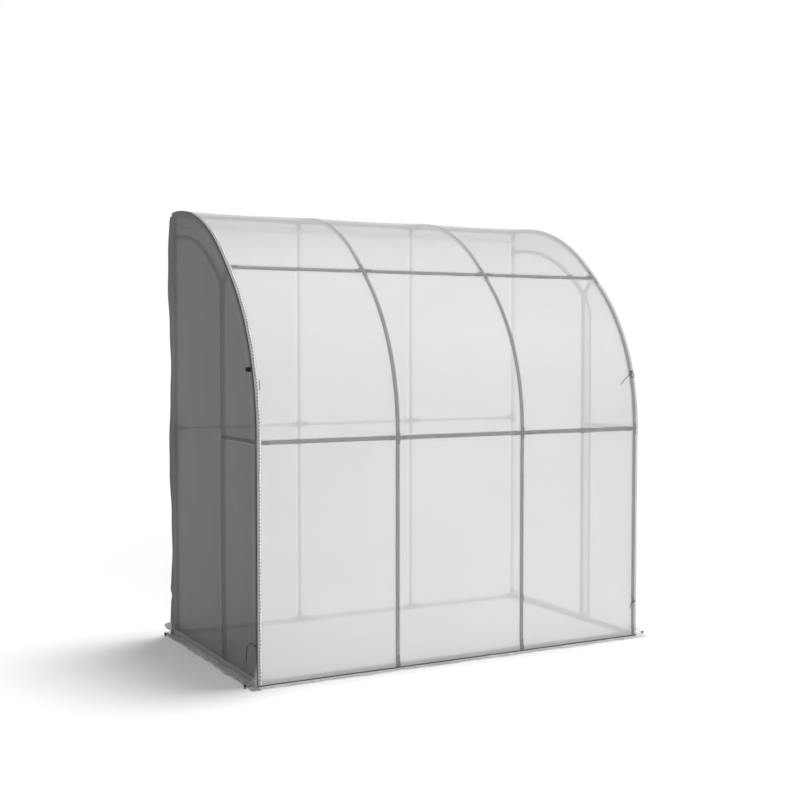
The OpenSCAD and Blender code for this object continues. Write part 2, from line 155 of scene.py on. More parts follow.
class Finish:
    """A material's nodes, with short calls for the kinds used here."""

    def __init__(self, name):
        self.material = bpy.data.materials.new(name)
        self.material.use_nodes = True
        self.tree = self.material.node_tree
        self.tree.nodes.clear()
        self.output = self.tree.nodes.new("ShaderNodeOutputMaterial")
        self.place = self.node("TexCoord").outputs["Object"]

    def node(self, kind, **settings):
        """Adds a shader node and gives it its settings."""
        made = self.tree.nodes.new("ShaderNode" + kind)
        for key, value in settings.items():
            setattr(made, key, value)
        return made

    def feed(self, socket, value):
        """Links a node's output to a socket, or sets a plain value on it."""
        if isinstance(value, bpy.types.NodeSocket):
            self.tree.links.new(value, socket)
        elif value is not None:
            socket.default_value = value

    def maths(self, operation, *values):
        """The output of a math node on numbers or outputs."""
        made = self.node("Math", operation=operation)
        for socket, value in zip(made.inputs, values):
            self.feed(socket, value)
        return made.outputs[0]

    def vector(self, operation, a, b=None):
        """The same on vectors."""
        made = self.node("VectorMath", operation=operation)
        self.feed(made.inputs[0], a)
        self.feed(made.inputs[1], b)
        return made.outputs["Value" if operation == "LENGTH" else "Vector"]

    def axes(self):
        """X, Y and Z of a point in the object's own coordinates."""
        made = self.node("SeparateXYZ")
        self.feed(made.inputs[0], self.place)
        return made.outputs

    def ramp(self, value, from_low, from_high, to_low, to_high, smooth=False):
        """Carries one range over to another, and holds at its ends."""
        made = self.node("MapRange", interpolation_type="SMOOTHSTEP" if smooth else "LINEAR")
        for socket, number in zip(made.inputs, (value, from_low, from_high, to_low, to_high)):
            self.feed(socket, number)
        return made.outputs[0]

    def noise(self, scale, detail, stretch=(1, 1, 1)):
        """Noise in the object's own coordinates. A small stretch draws it out long."""
        mapping = self.node("Mapping")
        self.feed(mapping.inputs["Vector"], self.place)
        mapping.inputs["Scale"].default_value = stretch
        made = self.node("TexNoise")
        self.feed(made.inputs["Vector"], mapping.outputs[0])
        made.inputs["Scale"].default_value = scale
        made.inputs["Detail"].default_value = detail
        return made.outputs["Fac"]

    def blend(self, share, low, high):
        """The colour low where the share is 0 and high where it is 1."""
        made = self.node("Mix", data_type="RGBA")
        self.feed(made.inputs["Factor"], share)
        for name, colour in (("A", low), ("B", high)):
            self.feed(made.inputs[name], (*colour, 1) if isinstance(colour, tuple) else colour)
        return made.outputs["Result"]

    def bump(self, height, strength, distance):
        """A normal tilted by the slope of a height."""
        made = self.node("Bump")
        self.feed(made.inputs["Height"], height)
        made.inputs["Strength"].default_value = strength
        made.inputs["Distance"].default_value = distance
        return made.outputs[0]

    def skin(self, colour, roughness, normal, **sockets):
        """An opaque surface. Its other sockets are named with _ for a space."""
        made = self.node("BsdfPrincipled")
        self.feed(made.inputs["Base Color"], colour)
        self.feed(made.inputs["Roughness"], roughness)
        self.feed(made.inputs["Normal"], normal)
        for name, value in sockets.items():
            made.inputs[name.replace("_", " ")].default_value = value
        return made.outputs[0]

    def mix(self, share, first, second):
        """The first surface where the share is 0 and the second where it is 1."""
        made = self.node("MixShader")
        self.feed(made.inputs[0], share)
        self.feed(made.inputs[1], first)
        self.feed(made.inputs[2], second)
        return made.outputs[0]

    def done(self, surface):
        """Puts the surface on the material and hands the material back."""
        self.feed(self.output.inputs["Surface"], surface)
        return self.material


def tube_finish(name, dark, light):
    """Stoved coat on steel tube, faintly mottled, with fine scratches along it."""
    f = Finish(name)
    mottle = f.noise(14, 4)
    scratch = f.noise(260, 2, (0.06, 1, 1))
    colour = f.blend(f.ramp(mottle, 0.35, 0.7, 0, 1), dark, light)
    rough = f.ramp(scratch, 0.3, 0.7, 0.34, 0.5)
    return f.done(f.skin(colour, rough, f.bump(scratch, 0.12, 0.0004)))


def fitting_finish():
    """Dark moulded plastic with a fine spark-eroded grain."""
    f = Finish("moulded_fitting")
    grain = f.noise(900, 2)
    colour = f.blend(f.noise(18, 3), (0.035, 0.037, 0.037), (0.055, 0.057, 0.057))
    return f.done(f.skin(colour, 0.5, f.bump(grain, 0.25, 0.0003)))


def trim_finish():
    """Black moulded plastic of the pegs and the clip."""
    f = Finish("black_trim")
    grain = f.noise(1200, 2)
    colour = f.blend(f.noise(60, 2), (0.003, 0.003, 0.003), (0.008, 0.008, 0.008))
    return f.done(f.skin(colour, 0.75, f.bump(grain, 0.2, 0.0002), Specular_IOR_Level=0.15))


def cord_finish(name, dark, light):
    """Braid: light and dark strands in turn, slanting across all three axes."""
    f = Finish(name)
    x, y, z = f.axes()
    lean = f.maths("ADD", f.maths("ADD", x, y), f.maths("MULTIPLY", z, 1.7))
    strand = f.maths("PINGPONG", lean, 0.0007)
    weave = f.ramp(strand, 0, 0.0007, 0, 1)
    colour = f.blend(weave, dark, light)
    return f.done(f.skin(colour, 0.75, f.bump(weave, 0.6, 0.0003)))


CLEAR_FROM = 0.0145         # the distance from a tube at which the film clouds over
CLEAR_TO = 0.0172           # and at which it is milky all through
CLING_X = 0.003             # how far left of an arch its clear line has its middle
CLING_DOWN = 0.006          # and how far down the slope the purlin's has
ARCH_RISE = 0.0043          # the film's height over an arch, added to the distance
RIB_PITCH = 0.012           # of the reinforcing grid
RIB_HALF = 0.0016
RIB_SHARE = 0.025           # what a rib adds to the film's body
DOUBLED_BODY = 0.95


class FilmFinish(Finish):
    """Milky film with a woven reinforcing grid. It veils what is behind it, and
    clears where it lies on a tube."""

    def away_from_line(self, point, along):
        """Distance from a straight axis through a point, along X, Y or Z."""
        across = tuple(0.0 if axis == along else 1.0 for axis in "XYZ")
        gap = self.vector("SUBTRACT", self.place, tuple(float(v) for v in point))
        return self.vector("LENGTH", self.vector("MULTIPLY", gap, across))

    def away_from_arches(self):
        """Distance from the nearest arch's clear line: along X a zigzag with one
        tooth a bay, to which the film's height over the tube is added."""
        along = self.maths("SUBTRACT", self.axes()[0], ARCH_X[0] - CLING_X)
        return self.maths("ADD", self.maths("PINGPONG", along, BAY / 2), ARCH_RISE)

    def veil(self, tubes, clear_share):
        """The share of the film's body: clear_share along the middle of a tube,
        rising to 1 past the tube's edge."""
        nearest = tubes[0]
        for distance in tubes[1:]:
            nearest = self.maths("MINIMUM", nearest, distance)
        away = self.ramp(nearest, CLEAR_FROM, CLEAR_TO, 0, 1, smooth=True)
        rest = self.maths("SUBTRACT", 1, clear_share)
        return self.maths("ADD", clear_share, self.maths("MULTIPLY", away, rest))

    def doubled(self, edges):
        """1 where the film is doubled or welded, and 0 elsewhere. Each edge is a
        value, and the readings at which the doubling starts and is full."""
        most = self.ramp(edges[0][0], edges[0][1], edges[0][2], 0, 1)
        for value, start, full in edges[1:]:
            most = self.maths("MAXIMUM", most, self.ramp(value, start, full, 0, 1))
        return most

    def weave(self, across, up):
        """Ribs of the reinforcing grid: 1 on a rib, and 0 in the squares between."""
        gaps = [self.maths("PINGPONG", axis, RIB_PITCH / 2) for axis in (across, up)]
        return self.maths("MAXIMUM", *(self.ramp(gap, 0, RIB_HALF, 1, 0) for gap in gaps))

    def sheet(self, tones, body, across, up, veil=None, doubled=None, hem=None,
              glow=0.25, top_shade=None):
        """Mixes the film's own surface with what is behind it, by the share of its
        body. tones are its two colours, and hem its colour where it is doubled. glow
        is the share of the light on it that passes through, and the last argument the
        share of its colour that is turned to a painted shade."""
        ribs = self.weave(across, up)
        cloud = self.ramp(self.noise(2.2, 3), 0.3, 0.7, 0, 1)
        tone = self.blend(cloud, *tones)
        # painted shade over the upper film
        if top_shade:
            tone = self.blend(top_shade, tone, TOP_SHADE)
        share = self.maths("ADD", body, self.maths("MULTIPLY", ribs, RIB_SHARE))
        if veil:
            share = self.maths("MULTIPLY", share, veil)
        if doubled:
            more = self.maths("SUBTRACT", DOUBLED_BODY, share)
            share = self.maths("ADD", share, self.maths("MULTIPLY", doubled, more))
            tone = self.blend(doubled, tone, hem)
            glow = self.maths("MULTIPLY", glow, self.maths("SUBTRACT", 1, doubled))
        normal = self.bump(self.maths("ADD", ribs, self.noise(9, 3)), 0.10, 0.0006)
        face = self.skin(tone, 0.5, normal, Specular_IOR_Level=0.25)
        through = self.node("BsdfTranslucent")
        self.feed(through.inputs["Color"], tone)
        lit = self.mix(glow, face, through.outputs[0])
        return self.done(self.mix(share, self.node("BsdfTransparent").outputs[0], lit))


PALE_FILM = ((0.79, 0.79, 0.795), (0.82, 0.82, 0.825))
# the pale film painted a little darker as shade, for the right end
END_SHADE_FILM = ((0.71, 0.71, 0.715), (0.74, 0.74, 0.745))
# painted shade: the roof and the upper rim darken to this towards the top
TOP_SHADE = (0.655, 0.655, 0.655)
HEM = (0.80, 0.80, 0.80)
SHADED_HEM = (0.33, 0.33, 0.33)
# painted shade in the crease at the film's foot
CREASE_SHADE = (0.12, 0.12, 0.12)
# painted shade: the left end's film, its doubled rear band and its free edge are dark because that
# end is turned from the light
SHADE_PAINTED_FILM = ((0.087, 0.087, 0.088), (0.095, 0.095, 0.095))
SHADE_PAINTED_HEM = (0.125, 0.125, 0.125)
SHADE_PAINTED_EDGE = (0.078, 0.078, 0.079)
# painted shade: the dark line where the left end's film lies on the door post and no light gets
# behind it
POST_LINE_SHADE = (0.036, 0.036, 0.036)
EAR = (0.36, 0.36, 0.36)
# painted shade at the left end's doubled foot, lighter than on the rest of that end
SHADE_PAINTED_FOOT = (0.28, 0.28, 0.28)
CORNER_FOLD = (0.78, 0.78, 0.78)
BODY = 0.74                 # the film's share of what is seen, away from the tubes
DARK_BODY = 0.93
LOOSE_Z = (1.80, 2.04)      # heights between which the cover lies more and more loosely
COVER_CLEAR = (0.38, 0.90)  # shares of a film's body that are left over a tube
POST_CLEAR = 0.42
END_RAIL_CLEAR = 0.80
DARK_RAIL_CLEAR = 0.75
BASE_RAIL_CLEAR = 0.97
DARK_GLOW = 0.1             # the share of light that the skirts and the left end's painted-shade film pass
RIM_SHADE_Z = (0.95, 1.55)   # heights between which painted shade sets in, on the rim
ROOF_SHADE_Z = (1.50, 1.95)  # and on the film
END_HEM = 0.030             # height of the left end film's doubled foot
REAR_HEM = 0.022            # width of its doubled rear edge
POST_SHADE_HALF = 0.015          # half width of the painted shade line along the door post
EAR_HALF = 0.021            # half height of the pale ear
FLAP_HEM = 0.021            # widths of the flap's hems: at its front edge and its foot
FLAP_FOOT_HEM = 0.029
FOLD_SLOPE = 1.7            # height of the front corner's fold for its width
FOLD_TOP = 0.16             # height at which it has faded out


def foot_crease(f, z, top=HEM_TOP):
    """An edge for doubled: the film's foot is folded from a height down."""
    return f.maths("MULTIPLY", z, -1), -top - 0.001, -top + 0.001


def cover_finish():
    """Clears over the tubes, less so higher up where the film lies loosely. The rims
    and the foot are doubled. Painted shade darkens the roof and the upper rim towards
    the top, the rims' turned edges and the crease at the foot."""
    f = FilmFinish("cover_film")
    x, y, z = f.axes()
    clinging = PURLIN + TOUCH_OFF * LINK_OUT - CLING_DOWN * LINK_DIR
    rails = [(0, Y_FRONT, MID_Z), (0, *clinging), (0, *TOP)]
    tubes = [f.away_from_arches()] + [f.away_from_line(rail, "X") for rail in rails]
    veil = f.veil(tubes, f.ramp(z, *LOOSE_Z, *COVER_CLEAR))
    base = f.veil([f.away_from_line((0, Y_FRONT, BASE_Z), "X")], BASE_RAIL_CLEAR)
    left = f.maths("MULTIPLY", x, -1)
    foot = f.doubled([foot_crease(f, z)])
    left_rim = (left, HALF_L - 0.008, HALF_L - 0.005)
    rims = f.doubled([left_rim, (x, HALF_L + 0.004, HALF_L + 0.009)])
    doubled = f.maths("MAXIMUM", rims, foot)
    shaded = f.maths("MAXIMUM", f.ramp(left, HALF_L - 0.001, HALF_L + 0.003, 0, 1),
                     f.ramp(x, HALF_L + 0.004, HALF_L + 0.006, 0, 0.55))
    # painted shade, darker towards the top of the rim
    rim = f.blend(f.ramp(z, *RIM_SHADE_Z, 0, 1), HEM, TOP_SHADE)
    # painted shade on the rims' turned edges and in the crease at the foot
    hem = f.blend(foot, f.blend(shaded, rim, SHADED_HEM), CREASE_SHADE)
    # painted shade, darker towards the top of the roof
    top_shade = f.ramp(z, *ROOF_SHADE_Z, 0, 1)
    veil = f.maths("MULTIPLY", veil, base)
    return f.sheet(PALE_FILM, BODY, x, z, veil, doubled, hem, top_shade=top_shade)


def back_finish():
    """Clears over the posts and rails. Both upright rims are doubled."""
    f = FilmFinish("back_film")
    x, y, z = f.axes()
    rails = [(0, Y_BACK, BASE_Z), (0, Y_BACK, MID_Z), (0, *TOP)]
    tubes = [f.away_from_arches()] + [f.away_from_line(rail, "X") for rail in rails]
    rim = (f.maths("ABSOLUTE", x), HALF_L + 0.003, HALF_L + 0.008)
    return f.sheet(PALE_FILM, BODY, x, z, f.veil(tubes, POST_CLEAR), f.doubled([rim]), HEM)


def right_end_finish():
    """Clears over the door post and the base rail, above a crease of painted shade at
    the foot. Its film is the pale one painted a little darker, as shade.
    """
    f = FilmFinish("right_end_film")
    x, y, z = f.axes()
    post = f.veil([f.away_from_line((HALF_L, POST_Y, 0), "Z")], POST_CLEAR)
    rail = f.veil([f.away_from_line((HALF_L, 0, BASE_Z), "Y")], END_RAIL_CLEAR)
    crease = f.doubled([foot_crease(f, z)])
    return f.sheet(END_SHADE_FILM, BODY, y, z, f.maths("MULTIPLY", post, rail), crease, CREASE_SHADE)


def flap_finish():
    """Plain film with two hems, along the flap's front edge and its foot."""
    f = FilmFinish("door_flap_film")
    x, y, z = f.axes()
    hem = FLAP_LAP - POST_Y - FLAP_HEM
    front = (f.maths("MULTIPLY", y, -1), hem - 0.001, hem + 0.001)
    foot = foot_crease(f, z, FLAP_FOOT_HEM)
    return f.sheet(PALE_FILM, BODY, y, z, None, f.doubled([front, foot]), HEM)


def shade_painted_end_finish():
    """The left end's grey film, whose dark tone is painted shade, as that end is turned
    from the light. It is doubled along the ground and up its rear edge, and paler
    where it is folded at the foot of the front corner; its doubled foot has a lighter
    painted shade. A dark line of painted shade runs where it lies on the door post,
    and it clears a little on the middle rail in front of it. The free edge at the rear
    corner has a deeper painted shade, but its ear is pale."""
    f = FilmFinish("shade_painted_end_film")
    x, y, z = f.axes()
    edge = f.doubled([(y, REAR_EDGE - 0.0004, REAR_EDGE + 0.0004)])
    from_ear = f.maths("ABSOLUTE", f.maths("SUBTRACT", z, EAR_Z))
    by_ear = f.ramp(from_ear, EAR_HALF - 0.002, EAR_HALF + 0.002, 1, 0)
    ear = f.maths("MULTIPLY", by_ear, f.ramp(x, -FIN_X - 0.016, -FIN_X - 0.013, 1, 0))
    foot = f.doubled([foot_crease(f, z, END_HEM)])
    from_front = f.maths("SUBTRACT", y, FRONT_EDGE)
    corner = f.maths("ADD", z, f.maths("MULTIPLY", from_front, FOLD_SLOPE))
    fold = f.ramp(corner, 0.02, FOLD_TOP, 1, 0, smooth=True)
    post = f.away_from_line((-HALF_L, POST_Y, 0), "Z")
    post = f.maths("MAXIMUM", post, f.maths("SUBTRACT", z, POST_TOP[1]))
    # painted shade along the door post, where the film lies on the tube
    post_line_shade = f.ramp(post, POST_SHADE_HALF - 0.003, POST_SHADE_HALF + 0.003, 1, 0, smooth=True)
    # the doubled foot takes a lighter painted shade than the rest of the left end
    hem = f.blend(foot, f.blend(post_line_shade, SHADE_PAINTED_HEM, POST_LINE_SHADE), SHADE_PAINTED_FOOT)
    # painted shade, a little deeper on the free edge at the rear corner
    fin = f.blend(ear, SHADE_PAINTED_EDGE, EAR)
    hem = f.blend(edge, f.blend(fold, hem, CORNER_FOLD), fin)
    rear = Y_BACK - REAR_HEM
    doubled = f.doubled([(y, rear - 0.004, rear + 0.004)])
    for share in (foot, fold, post_line_shade):
        doubled = f.maths("MAXIMUM", doubled, share)
    rail = f.away_from_line((-HALF_L, 0, MID_Z), "Y")
    rail = f.maths("MAXIMUM", rail, f.maths("SUBTRACT", y, POST_Y))
    veil = f.veil([rail], DARK_RAIL_CLEAR)
    return f.sheet(SHADE_PAINTED_FILM, DARK_BODY, y, z, veil, doubled, hem, glow=DARK_GLOW)


def skirt_finish(name, dark, light):
    """The doubled foot of the film, a little soiled where it lies on the ground. The
    left end's copy is painted darker, as shade.
    """
    f = FilmFinish(name)
    x, y, z = f.axes()
    return f.sheet((dark, light), DARK_BODY, x, y, glow=DARK_GLOW)


def zip_finish():
    """Dark woven tape and dull moulded teeth."""
    f = Finish("zip")
    x, y, z = f.axes()
    weave = f.ramp(f.maths("PINGPONG", f.maths("ADD", y, z), 0.0005), 0, 0.0005, 0, 1)
    colour = f.blend(weave, (0.045, 0.045, 0.047), (0.085, 0.085, 0.088))
    return f.done(f.skin(colour, 0.7, f.bump(weave, 0.5, 0.0002)))


black_cord = cord_finish("black_braid", (0.012, 0.012, 0.012), (0.045, 0.045, 0.045))
grey_cord = cord_finish("grey_braid", (0.22, 0.22, 0.22), (0.38, 0.38, 0.38))
black_trim = trim_finish()
skirt_film = skirt_finish("skirt_film", (0.60, 0.60, 0.595), (0.82, 0.82, 0.82))
# painted shade: the left end's skirt, darker because that end is turned from the light
shade_painted_skirt = skirt_finish("shade_painted_skirt_film", (0.25, 0.25, 0.25), (0.56, 0.56, 0.56))


# ------------------------------------------------------------------ meshes

# A part of a piece is its points and its blocks of faces. A block holds the faces
# that have the same number of corners, counted from the part's first point.


def grid_faces(rows, columns, closed=False):
    """Quads of a grid of points stored row by row. A closed grid joins its last
    column to its first."""
    i, j = np.mgrid[: rows - 1, : columns if closed else columns - 1]
    here, after = i * columns + j, i * columns + (j + 1) % columns
    return np.stack([here, after, after + columns, here + columns], -1).reshape(-1, 4)


def surface(points, flip=False):
    """A grid of points (rows, columns, 3) as one part of a piece."""
    faces = grid_faces(*points.shape[:2])
    return points.reshape(-1, 3), [faces[:, ::-1] if flip else faces]


def bar(rings, flip=False):
    """A grid of rings (rings, sides, 3) as one part: walls all round, which flip
    turns over, and a face across the first ring and the last."""
    count, sides = rings.shape[:2]
    walls = grid_faces(count, sides, closed=True)
    first = np.arange(sides)
    ends = np.stack([first[::-1], (count - 1) * sides + first])
    return rings.reshape(-1, 3), [walls[:, ::-1] if flip else walls, ends]


def copies(points, blocks):
    """Many small solids of one make as one part. points are (solids, corners, 3),
    and blocks the faces of the first solid."""
    count, corners = points.shape[:2]
    starts = corners * np.arange(count)[:, None, None]
    blocks = [(starts + block).reshape(-1, block.shape[1]) for block in blocks]
    return points.reshape(-1, 3), blocks


def tube(path, radius, sides, across):
    """A closed tube along a path: a circle in each cross-section, square to the
    path's run. across is a direction that the path never takes."""
    path = np.asarray(path, float)
    run = np.gradient(path, axis=0)
    side = np.cross(run, across)
    side /= np.linalg.norm(side, axis=1, keepdims=True)
    up = np.cross(side, run)
    up /= np.linalg.norm(up, axis=1, keepdims=True)
    angle = np.linspace(0, 2 * np.pi, sides, endpoint=False)[:, None]
    ring = side[:, None] * np.cos(angle) + up[:, None] * np.sin(angle)
    return bar(path[:, None] + radius * ring, flip=True)


def piece(name, parts, material, replaces=(), hems=(), hem_material=None):
    """A mesh of several parts that rides on the greenhouse. The hems are parts with
    a finish of their own."""
    points, faces, start = [], [], 0
    for part_points, blocks in (*parts, *hems):
        points.append(part_points)
        for block in blocks:
            faces += (start + block).tolist()
        start += len(part_points)
    mesh = bpy.data.meshes.new(name)
    mesh.from_pydata(np.concatenate(points).tolist(), [], faces)
    mesh.polygons.foreach_set("use_smooth", np.ones(len(mesh.polygons), bool))
    mesh.materials.append(material)
    if hems:
        main = sum(len(block) for _, blocks in parts for block in blocks)
        mesh.materials.append(hem_material)
        in_hems = np.arange(len(faces)) >= main
        mesh.polygons.foreach_set("material_index", in_hems.astype(np.int32))
    mesh.update()
    obj = add(name, mesh)
    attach(obj, "root")
    if replaces:
        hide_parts(*replaces)
    return obj


def near(distance, reach):
    """1 on a line and 0 past its reach: the smooth step 3t^2 - 2t^3 between."""
    t = np.clip(1 - np.abs(distance) / reach, 0, 1)
    return t * t * (3 - 2 * t)


def spaced(stops, step):
    """Numbers from the first stop to the last that include every stop, about a
    step apart."""
    counts = [max(2, round((b - a) / step) + 1) for a, b in zip(stops, stops[1:])]
    runs = [np.linspace(a, b, n)[:-1] for a, b, n in zip(stops, stops[1:], counts)]
    return np.concatenate([*runs, stops[-1:]])


# ------------------------------------------------------------------ tie cords

def along_curve(knot, steps, count=14):
    """Points of a cubic Bezier curve, from its four control points, given from its
    knot in millimetres."""
    t = np.linspace(0, 1, count + 1)[:, None]
    p = np.array(knot) + np.array(steps) / 1000
    u = 1 - t
    return u ** 3 * p[0] + 3 * t * u * u * p[1] + 3 * t * t * u * p[2] + t ** 3 * p[3]


KNOT_GAP = 1.5 * CORD_D + 0.0003
FACE = TOUCH_OFF + 0.001    # the cover's outer face, from a tube's axis
UPPER_Z = 1.300             # height of the upper tie
UPPER_STAND = 0.0015        # how much further its larger knot stands out
LOWER_Z = 0.174             # height of the lower ties
UPPER_TURN = math.asin((UPPER_Z - LEG_H) / FRONT_R)
upper_out = FRONT_R + FACE + KNOT_GAP + UPPER_STAND
UPPER_KNOT = (HALF_L, *(FRONT_C + upper_out * outward(UPPER_TURN)))
RIGHT_KNOT = (HALF_L, Y_FRONT - FACE - KNOT_GAP, LOWER_Z)
LEFT_KNOT = (-FIN_X - KNOT_GAP, Y_FRONT, LOWER_Z)
# Each tie: its node, its knot, and its control points from the knot in millimetres.
TIES = {
    "tie_lower_left": (
        "tie_cord_lower_left", LEFT_KNOT,
        [[0, 5.2, 1], [-8, 60, 18], [-6, 88, -20], [-2, 92, -84]]),
    "tie_upper_right": (
        "tie_cord_upper_right", UPPER_KNOT,
        [[-5, -2, 0], [-16, -6, -20], [-44, -12, -26], [-78, -18, -62]]),
    "tie_lower_right_long": (
        "tie_cord_lower_right_long", RIGHT_KNOT,
        [[-5, -1.5, -1], [-20, -6, 0], [-26, -6, -12], [-31, -4, -30]]),
    "tie_lower_right_short": (
        "tie_cord_lower_right_short", RIGHT_KNOT,
        [[-3.1, -1.8, 3.8], [-9, -4, 11], [-16, -5, 19], [-23, -5, 27]]),
}


def tie_cord(name, node, knot, steps):
    """A round cord on one smooth spline along the node's own route."""
    route = along_curve(knot, steps)
    curve = bpy.data.curves.new(name, "CURVE")
    curve.dimensions = "3D"
    curve.bevel_depth = CORD_D / 2
    curve.bevel_resolution = 3
    curve.use_fill_caps = True
    line = curve.splines.new("POLY")
    line.points.add(len(route) - 1)
    line.points.foreach_set("co", np.c_[route, np.ones(len(route))].ravel())
    curve.materials.append(black_cord)
    obj = add(name, curve)
    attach(obj, "root")
    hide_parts(node)


for tie_name, (tie_node, tie_knot, tie_steps) in TIES.items():
    tie_cord(tie_name, tie_node, tie_knot, tie_steps)


def knot(at, size=0.0014):
    """A pulled overhand knot: the trefoil line, which winds twice round a ring
    while it rises and falls three times."""
    t = np.linspace(0, 2 * np.pi, 61)
    round_x, round_z = np.sin(t) + 2 * np.sin(2 * t), np.cos(t) - 2 * np.cos(2 * t)
    line = size * np.stack([round_x, round_z, -np.sin(3 * t)], -1)
    return tube(np.array(at) + line, CORD_D * 0.38, sides=8, across=(0.3, 0.5, 1))


def bow_loop(at, turn, length=0.032):
    """The loop of a half bow, down along the film from its knot: one petal of a
    rose, whose reach is the cosine of twice the angle from its middle."""
    angle = np.linspace(-np.pi / 4, np.pi / 4, 41)[:, None]
    reach = length * np.cos(2 * angle)
    down = -np.array([0, math.sin(turn), math.cos(turn)])
    side = np.array([1.0, 0, 0])
    petal = reach * (np.cos(angle) * down + np.sin(angle) * side)
    return tube(np.array(at) + petal, CORD_D / 2, sides=8, across=(0, 1, 0.3))


knots = [knot(UPPER_KNOT, size=0.0019), knot(RIGHT_KNOT), knot(LEFT_KNOT)]
knots.append(bow_loop(UPPER_KNOT, UPPER_TURN))
piece("tie_knots_pulled", knots, black_cord, ["tie_knots"])


# ------------------------------------------------------------------ film

def arch_line(s):
    """Point and outward direction of the arch's axis in the (Y, Z) plane at the
    length s from the ground: the leg, an arc, the link, an arc, the straight end,
    the turn round the top rail and the drop behind the rear posts."""
    s = np.asarray(s, float)
    stretches = [s < stop for stop in (S_LEG, S_FRONT, S_LINK, S_ROOF, S_TOP, S_CORNER)]
    whole = FRONT_TURN + ROOF_TURN
    turn = np.select(stretches, [
        0 * s,
        (s - S_LEG) / FRONT_R,
        0 * s + FRONT_TURN,
        FRONT_TURN + (s - S_LINK) / ROOF_R,
        0 * s + whole,
        whole + (s - S_TOP) / FILM_OFF,
    ], math.pi)
    out = outward(turn)
    run = np.stack([np.sin(turn), np.cos(turn)], -1)
    t = s[..., None]
    point = np.select([stretch[..., None] for stretch in stretches], [
        np.array([Y_FRONT, 0]) + t * run,
        FRONT_C + FRONT_R * out,
        FRONT_C + FRONT_R * LINK_OUT + (t - S_FRONT) * LINK_DIR,
        ROOF_C + ROOF_R * out,
        ROOF_C + ROOF_R * out + (t - S_ROOF) * run,
        TOP + 0 * t,
    ], TOP + (t - S_CORNER) * run)
    return point, out


FLAT_HALF = HALF_L + FILM_OFF - RIM_R
RIM_END = FLAT_HALF + RIM_R * math.pi / 2
FLANGE_END = HALF_L + FILM_OFF + FLANGE


def round_the_rim(u):
    """Where the point u along the film's width lies across the greenhouse, and how
    far it has dropped from the film's face. At the left end it is flat as far as
    the rim, then a quarter circle, then straight along the end plane. At the right
    end it runs on flat, as the free edge of the seam."""
    past = np.clip(-u - FLAT_HALF, 0, None)
    angle = np.minimum(past / RIM_R, math.pi / 2)
    x = np.where(u < -FLAT_HALF, -FLAT_HALF - RIM_R * np.sin(angle), u)
    drop = RIM_R * (1 - np.cos(angle)) + np.clip(past - RIM_R * math.pi / 2, 0, None)
    return x, drop


def width_columns():
    """Places along the film's width: close together round the rims and beside the
    arches, wider apart in the bays."""
    hem = np.linspace(-RIM_END - RIM_HEM, -RIM_END, 4)[:-1]
    rim = np.linspace(-RIM_END, -FLAT_HALF, 7)
    bays = [spaced([a, a + 0.03, b - 0.03, b], 0.016)[:-1] for a, b in zip(ARCH_X, ARCH_X[1:])]
    edge = spaced([HALF_L, HALF_L + FILM_OFF, FLANGE_END], 0.004)
    return np.concatenate([hem, rim, *bays, edge])


def flange_wave(x, s):
    """The seam's free edge at the right end waves in and out: two slow sines along
    it, from nothing at the end film to the full wave at its edge."""
    share = np.clip((x - HALF_L - FILM_OFF) / FLANGE, 0, 1)
    return share * (0.0008 * np.sin(7.4 * s + 0.6) + 0.0005 * np.sin(19 * s))


def panel_sag(x, s, rails, depths):
    """How far the film hangs inside its tubes: one smooth hollow between each two
    arches and each two rails, nothing on the tubes themselves."""
    across = np.abs(np.sin(np.pi * (x - ARCH_X[0]) / BAY))
    level = np.interp(s, rails, np.arange(len(rails)))
    along = np.abs(np.sin(np.pi * level))
    depth = np.interp(np.floor(level), np.arange(len(depths)), depths)
    return depth * across * along


def fitting_bump(x, s, rails):
    """The film stands a little higher over each fitting."""
    reach = np.min([np.hypot(x - a, s - r) for a in ARCH_X for r in rails], axis=0)
    return (FILM_OFF - TOUCH_OFF) * near(reach, 0.075)


def creases(x, s, rails):
    """Fine tension creases: a fan of sines round each fitting, which fades with the
    distance from it, and two slow sines that cross in the slack middle of a bay."""
    gap_x = np.min([np.abs(x - a) for a in ARCH_X], axis=0)
    gap_s = np.min([np.abs(s - r) for r in rails], axis=0)
    fan = np.sin(38 * np.arctan2(gap_s, gap_x + 0.02))
    fan = fan * near(np.hypot(gap_x, gap_s) - 0.13, 0.13)
    slack = np.sin(23 * x + 7 * s + 1.3 * np.sin(9 * s))
    slack = slack * np.sin(11 * s - 5 * x + 0.8 * np.sin(13 * x))
    return 0.0007 * fan + 0.0012 * slack * near(gap_x - BAY / 2, BAY / 2)


